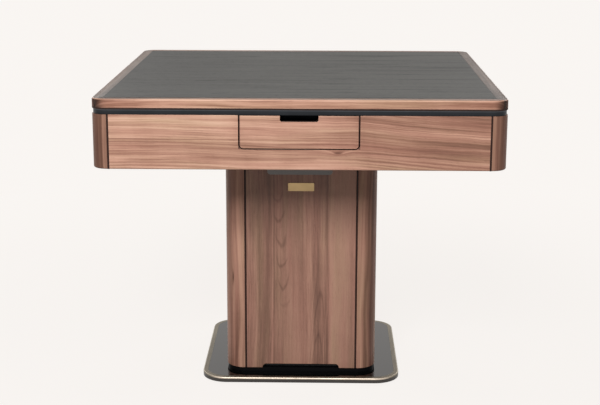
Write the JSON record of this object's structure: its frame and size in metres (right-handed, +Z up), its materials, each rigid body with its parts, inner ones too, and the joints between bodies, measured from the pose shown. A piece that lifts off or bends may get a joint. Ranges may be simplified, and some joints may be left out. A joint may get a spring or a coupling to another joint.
{
  "type": "mahjong table",
  "caption": "Square pedestal gaming table with a drawer in each side, a lift-off dining cover and a tile-shuffling machine inside.",
  "frame": {"origin": "floor level, under the middle of the base", "axes": "+Z up; the front drawer and the pedestal's nameplate face -Y; +X to the right seen from the front"},
  "size_m": [1, 1, 0.812],
  "materials": {
    "walnut": "satin walnut veneer",
    "black_veneer": "open-grain black veneer, satin",
    "black_board": "black painted board",
    "gunmetal": "dark anodised",
    "champagne_trim": "polished champagne gold",
    "black_gloss": "high gloss",
    "black_enamel": "satin enamel",
    "rubber": "matt",
    "brass": "brushed",
    "black_strip": "black anodised",
    "grey_sheet": "grey powder coat",
    "frame_steel": "black powder coat",
    "zinc": "zinc plated",
    "lift_alloy": "cast",
    "black_plastic": "fine moulded texture",
    "rocker_plastic": "gloss",
    "drum_plastic": "moulded",
    "cloth": "flat woven play cloth",
    "clear_plastic": "clear",
    "ivory_plastic": "polished",
    "button_plastic": "polished",
    "wheel_rubber": "matt"
  },
  "bodies": {
    "table": {"apron_panel_front": "walnut", "apron_panel_right": "walnut", "apron_panel_back": "walnut", "apron_panel_left": "walnut", "apron_posts": "walnut", "pedestal_posts": "walnut", "pedestal_panel_right": "walnut", "pedestal_panel_back": "walnut", "pedestal_panel_left": "walnut", "play_board": "black_board", "rim_rails": "gunmetal", "base_trim": "champagne_trim", "base_top_panel": "black_gloss", "base_plate": "black_enamel", "pedestal_plinth": "black_enamel", "base_pad": "rubber", "pedestal_seam_strips": "black_strip", "apron_seam_strips": "black_strip", "lift_motor_covers": "grey_sheet", "under_tray": "grey_sheet", "drawer_runners": "grey_sheet", "pedestal_frame": "frame_steel", "frame_bolts": "zinc", "console_column": "zinc", "tile_lifts": "lift_alloy", "power_inlet": "black_plastic", "control_box": "black_plastic", "turntable_motor": "black_plastic", "shuffle_drum": "drum_plastic", "play_cloth": "cloth"},
    "dining_cover": {"cover_rails": "walnut", "cover_panel": "black_veneer", "cover_underboard": "black_board", "cover_cleats": "rubber"},
    "tile_trays": {"tile_trays": "drum_plastic"},
    "console": {"console_housing": "black_plastic", "console_dome": "clear_plastic"},
    "dice_plate": {"dice_plate": "black_plastic", "dice_pair": "ivory_plastic"},
    "turntable": {"turntable": "drum_plastic"},
    "access_panel": {"pedestal_panel_front": "walnut", "nameplate": "brass"},
    "power_switch": {"power_switch": "rocker_plastic"},
    "drawer_front": {"drawer_front_front": "walnut", "drawer_box_front": "black_plastic"},
    "console_button_front": {"console_button_front": "button_plastic"},
    "magnet_wheel_front": {"magnet_wheel_front": "wheel_rubber"},
    "drawer_right": {"drawer_front_right": "walnut", "drawer_box_right": "black_plastic"},
    "console_button_right": {"console_button_right": "button_plastic"},
    "magnet_wheel_right": {"magnet_wheel_right": "wheel_rubber"},
    "drawer_back": {"drawer_front_back": "walnut", "drawer_box_back": "black_plastic"},
    "console_button_back": {"console_button_back": "button_plastic"},
    "magnet_wheel_back": {"magnet_wheel_back": "wheel_rubber"},
    "drawer_left": {"drawer_front_left": "walnut", "drawer_box_left": "black_plastic"},
    "console_button_left": {"console_button_left": "button_plastic"},
    "magnet_wheel_left": {"magnet_wheel_left": "wheel_rubber"}
  },
  "joints": [
    {"name": "cover_lift", "type": "slide", "parent": "table", "child": "dining_cover", "axis": [0, 0, 1], "range_m": [0, 0.25]},
    {"name": "console_lift", "type": "slide", "parent": "table", "child": "console", "axis": [0, 0, 1], "range_m": [0, 0.055]},
    {"name": "tile_lift", "type": "slide", "parent": "table", "child": "tile_trays", "axis": [0, 0, 1], "range_m": [-0.05, 0]},
    {"name": "dice_spin", "type": "hinge", "parent": "console", "child": "dice_plate", "pos_m": [0, 0, 0.76815], "axis": [0, 0, 1], "continuous": true},
    {"name": "turntable_spin", "type": "hinge", "parent": "table", "child": "turntable", "pos_m": [0, 0, 0.6808], "axis": [0, 0, 1], "continuous": true},
    {"name": "access_panel_pull", "type": "slide", "parent": "table", "child": "access_panel", "axis": [0, -1, 0], "range_m": [0, 0.06]},
    {"name": "switch_rock", "type": "hinge", "parent": "table", "child": "power_switch", "pos_m": [0.013, 0.2025, 0.0901], "axis": [1, 0, 0], "range_deg": [-6, 6]},
    {"name": "drawer_front_slide", "type": "slide", "parent": "table", "child": "drawer_front", "axis": [0, -1, 0], "range_m": [0, 0.09]},
    {"name": "drawer_right_slide", "type": "slide", "parent": "table", "child": "drawer_right", "axis": [1, 0, 0], "range_m": [0, 0.09]},
    {"name": "drawer_back_slide", "type": "slide", "parent": "table", "child": "drawer_back", "axis": [0, 1, 0], "range_m": [0, 0.09]},
    {"name": "drawer_left_slide", "type": "slide", "parent": "table", "child": "drawer_left", "axis": [-1, 0, 0], "range_m": [0, 0.09]},
    {"name": "button_front_press", "type": "slide", "parent": "console", "child": "console_button_front", "axis": [0, 0, -1], "range_m": [0, 0.0015], "stiffness_N_per_m": 300},
    {"name": "button_right_press", "type": "slide", "parent": "console", "child": "console_button_right", "axis": [0, 0, -1], "range_m": [0, 0.0015], "stiffness_N_per_m": 300},
    {"name": "button_back_press", "type": "slide", "parent": "console", "child": "console_button_back", "axis": [0, 0, -1], "range_m": [0, 0.0015], "stiffness_N_per_m": 300},
    {"name": "button_left_press", "type": "slide", "parent": "console", "child": "console_button_left", "axis": [0, 0, -1], "range_m": [0, 0.0015], "stiffness_N_per_m": 300},
    {"name": "wheel_front_spin", "type": "hinge", "parent": "table", "child": "magnet_wheel_front", "pos_m": [0, -0.256, 0.693], "axis": [1, 0, 0], "continuous": true},
    {"name": "wheel_right_spin", "type": "hinge", "parent": "table", "child": "magnet_wheel_right", "pos_m": [0.256, 0, 0.693], "axis": [0, 1, 0], "continuous": true},
    {"name": "wheel_back_spin", "type": "hinge", "parent": "table", "child": "magnet_wheel_back", "pos_m": [0, 0.256, 0.693], "axis": [1, 0, 0], "continuous": true},
    {"name": "wheel_left_spin", "type": "hinge", "parent": "table", "child": "magnet_wheel_left", "pos_m": [-0.256, 0, 0.693], "axis": [0, 1, 0], "continuous": true}
  ],
  "couplings": [
    {"joint": "console_lift", "follows": "cover_lift", "ratio": 0.22}
  ]
}
